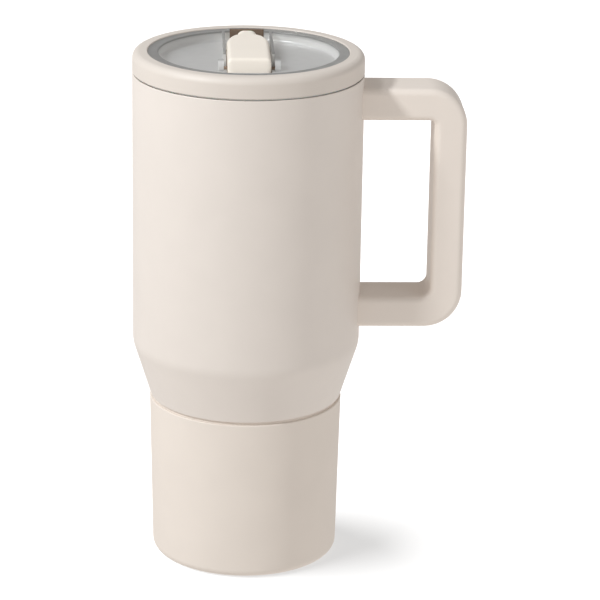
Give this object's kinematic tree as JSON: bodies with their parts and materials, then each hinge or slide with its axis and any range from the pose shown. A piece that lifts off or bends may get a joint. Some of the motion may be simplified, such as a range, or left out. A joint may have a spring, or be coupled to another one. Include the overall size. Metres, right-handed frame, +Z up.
{
  "type": "insulated tumbler with lid",
  "caption": "Double-wall steel travel tumbler with a tapered base in a soft boot, a squared side handle and a screw-on lid with a flip-up drinking spout over a straw.",
  "frame": {"origin": "centre of the boot's flat underside, on the body's axis", "axes": "+Z up along the body's axis, +X from the axis towards the handle, +Y along the closed spout from its pivot to its mouthpiece"},
  "size_m": [0.1442, 0.1, 0.2288],
  "materials": {
    "powder_coat": "satin powder coat",
    "steel": "brushed",
    "plug_metal": "dull",
    "boot_rubber": "matte silicone",
    "handle_plastic": "soft satin",
    "core_plastic": "moulded",
    "lid_plastic": "satin moulded",
    "cradle_plastic": "moulded",
    "spout_plastic": "satin moulded",
    "nozzle_silicone": "soft satin silicone",
    "silicone": "matte silicone",
    "clear_plastic": "clear moulded plastic"
  },
  "bodies": {
    "cup": {"outer_shell": "powder_coat", "inner_liner": "steel", "base_plate": "steel", "vacuum_plug": "plug_metal", "getter_cup": "steel", "getter": "plug_metal", "base_boot": "boot_rubber", "upper_bracket": "steel", "lower_bracket": "steel", "handle_frame": "core_plastic", "handle_grip": "handle_plastic", "handle_screws": "steel", "screw_plugs": "handle_plastic"},
    "gasket": {"rim_gasket": "silicone"},
    "seal": {"skirt_seal": "silicone"},
    "lid": {"lid_collar": "lid_plastic", "lid_tray": "clear_plastic", "spout_cradle": "cradle_plastic", "pivot_pins": "cradle_plastic", "port_seal": "silicone", "straw": "clear_plastic"},
    "spout": {"spout": "spout_plastic", "spout_nozzle": "nozzle_silicone", "vent_plug": "silicone"}
  },
  "joints": [
    {"name": "lid_lift", "type": "slide", "parent": "cup", "child": "gasket", "axis": [0, 0, 1], "range_m": [0, 0.23]},
    {"name": "lid_rise", "type": "slide", "parent": "gasket", "child": "seal", "axis": [0, 0, 1], "range_m": [0, 0.0064]},
    {"name": "lid_turn", "type": "hinge", "parent": "seal", "child": "lid", "pos_m": [0, 0, 0.2194], "axis": [0, 0, 1], "range_deg": [0, 460]},
    {"name": "spout_flip", "type": "hinge", "parent": "lid", "child": "spout", "pos_m": [0, -0.0121, 0.2229], "axis": [1, 0, 0], "range_deg": [0, 95]}
  ],
  "couplings": [
    {"joint": "lid_rise", "follows": "lid_turn", "m_per_rad": 0.00079577}
  ]
}
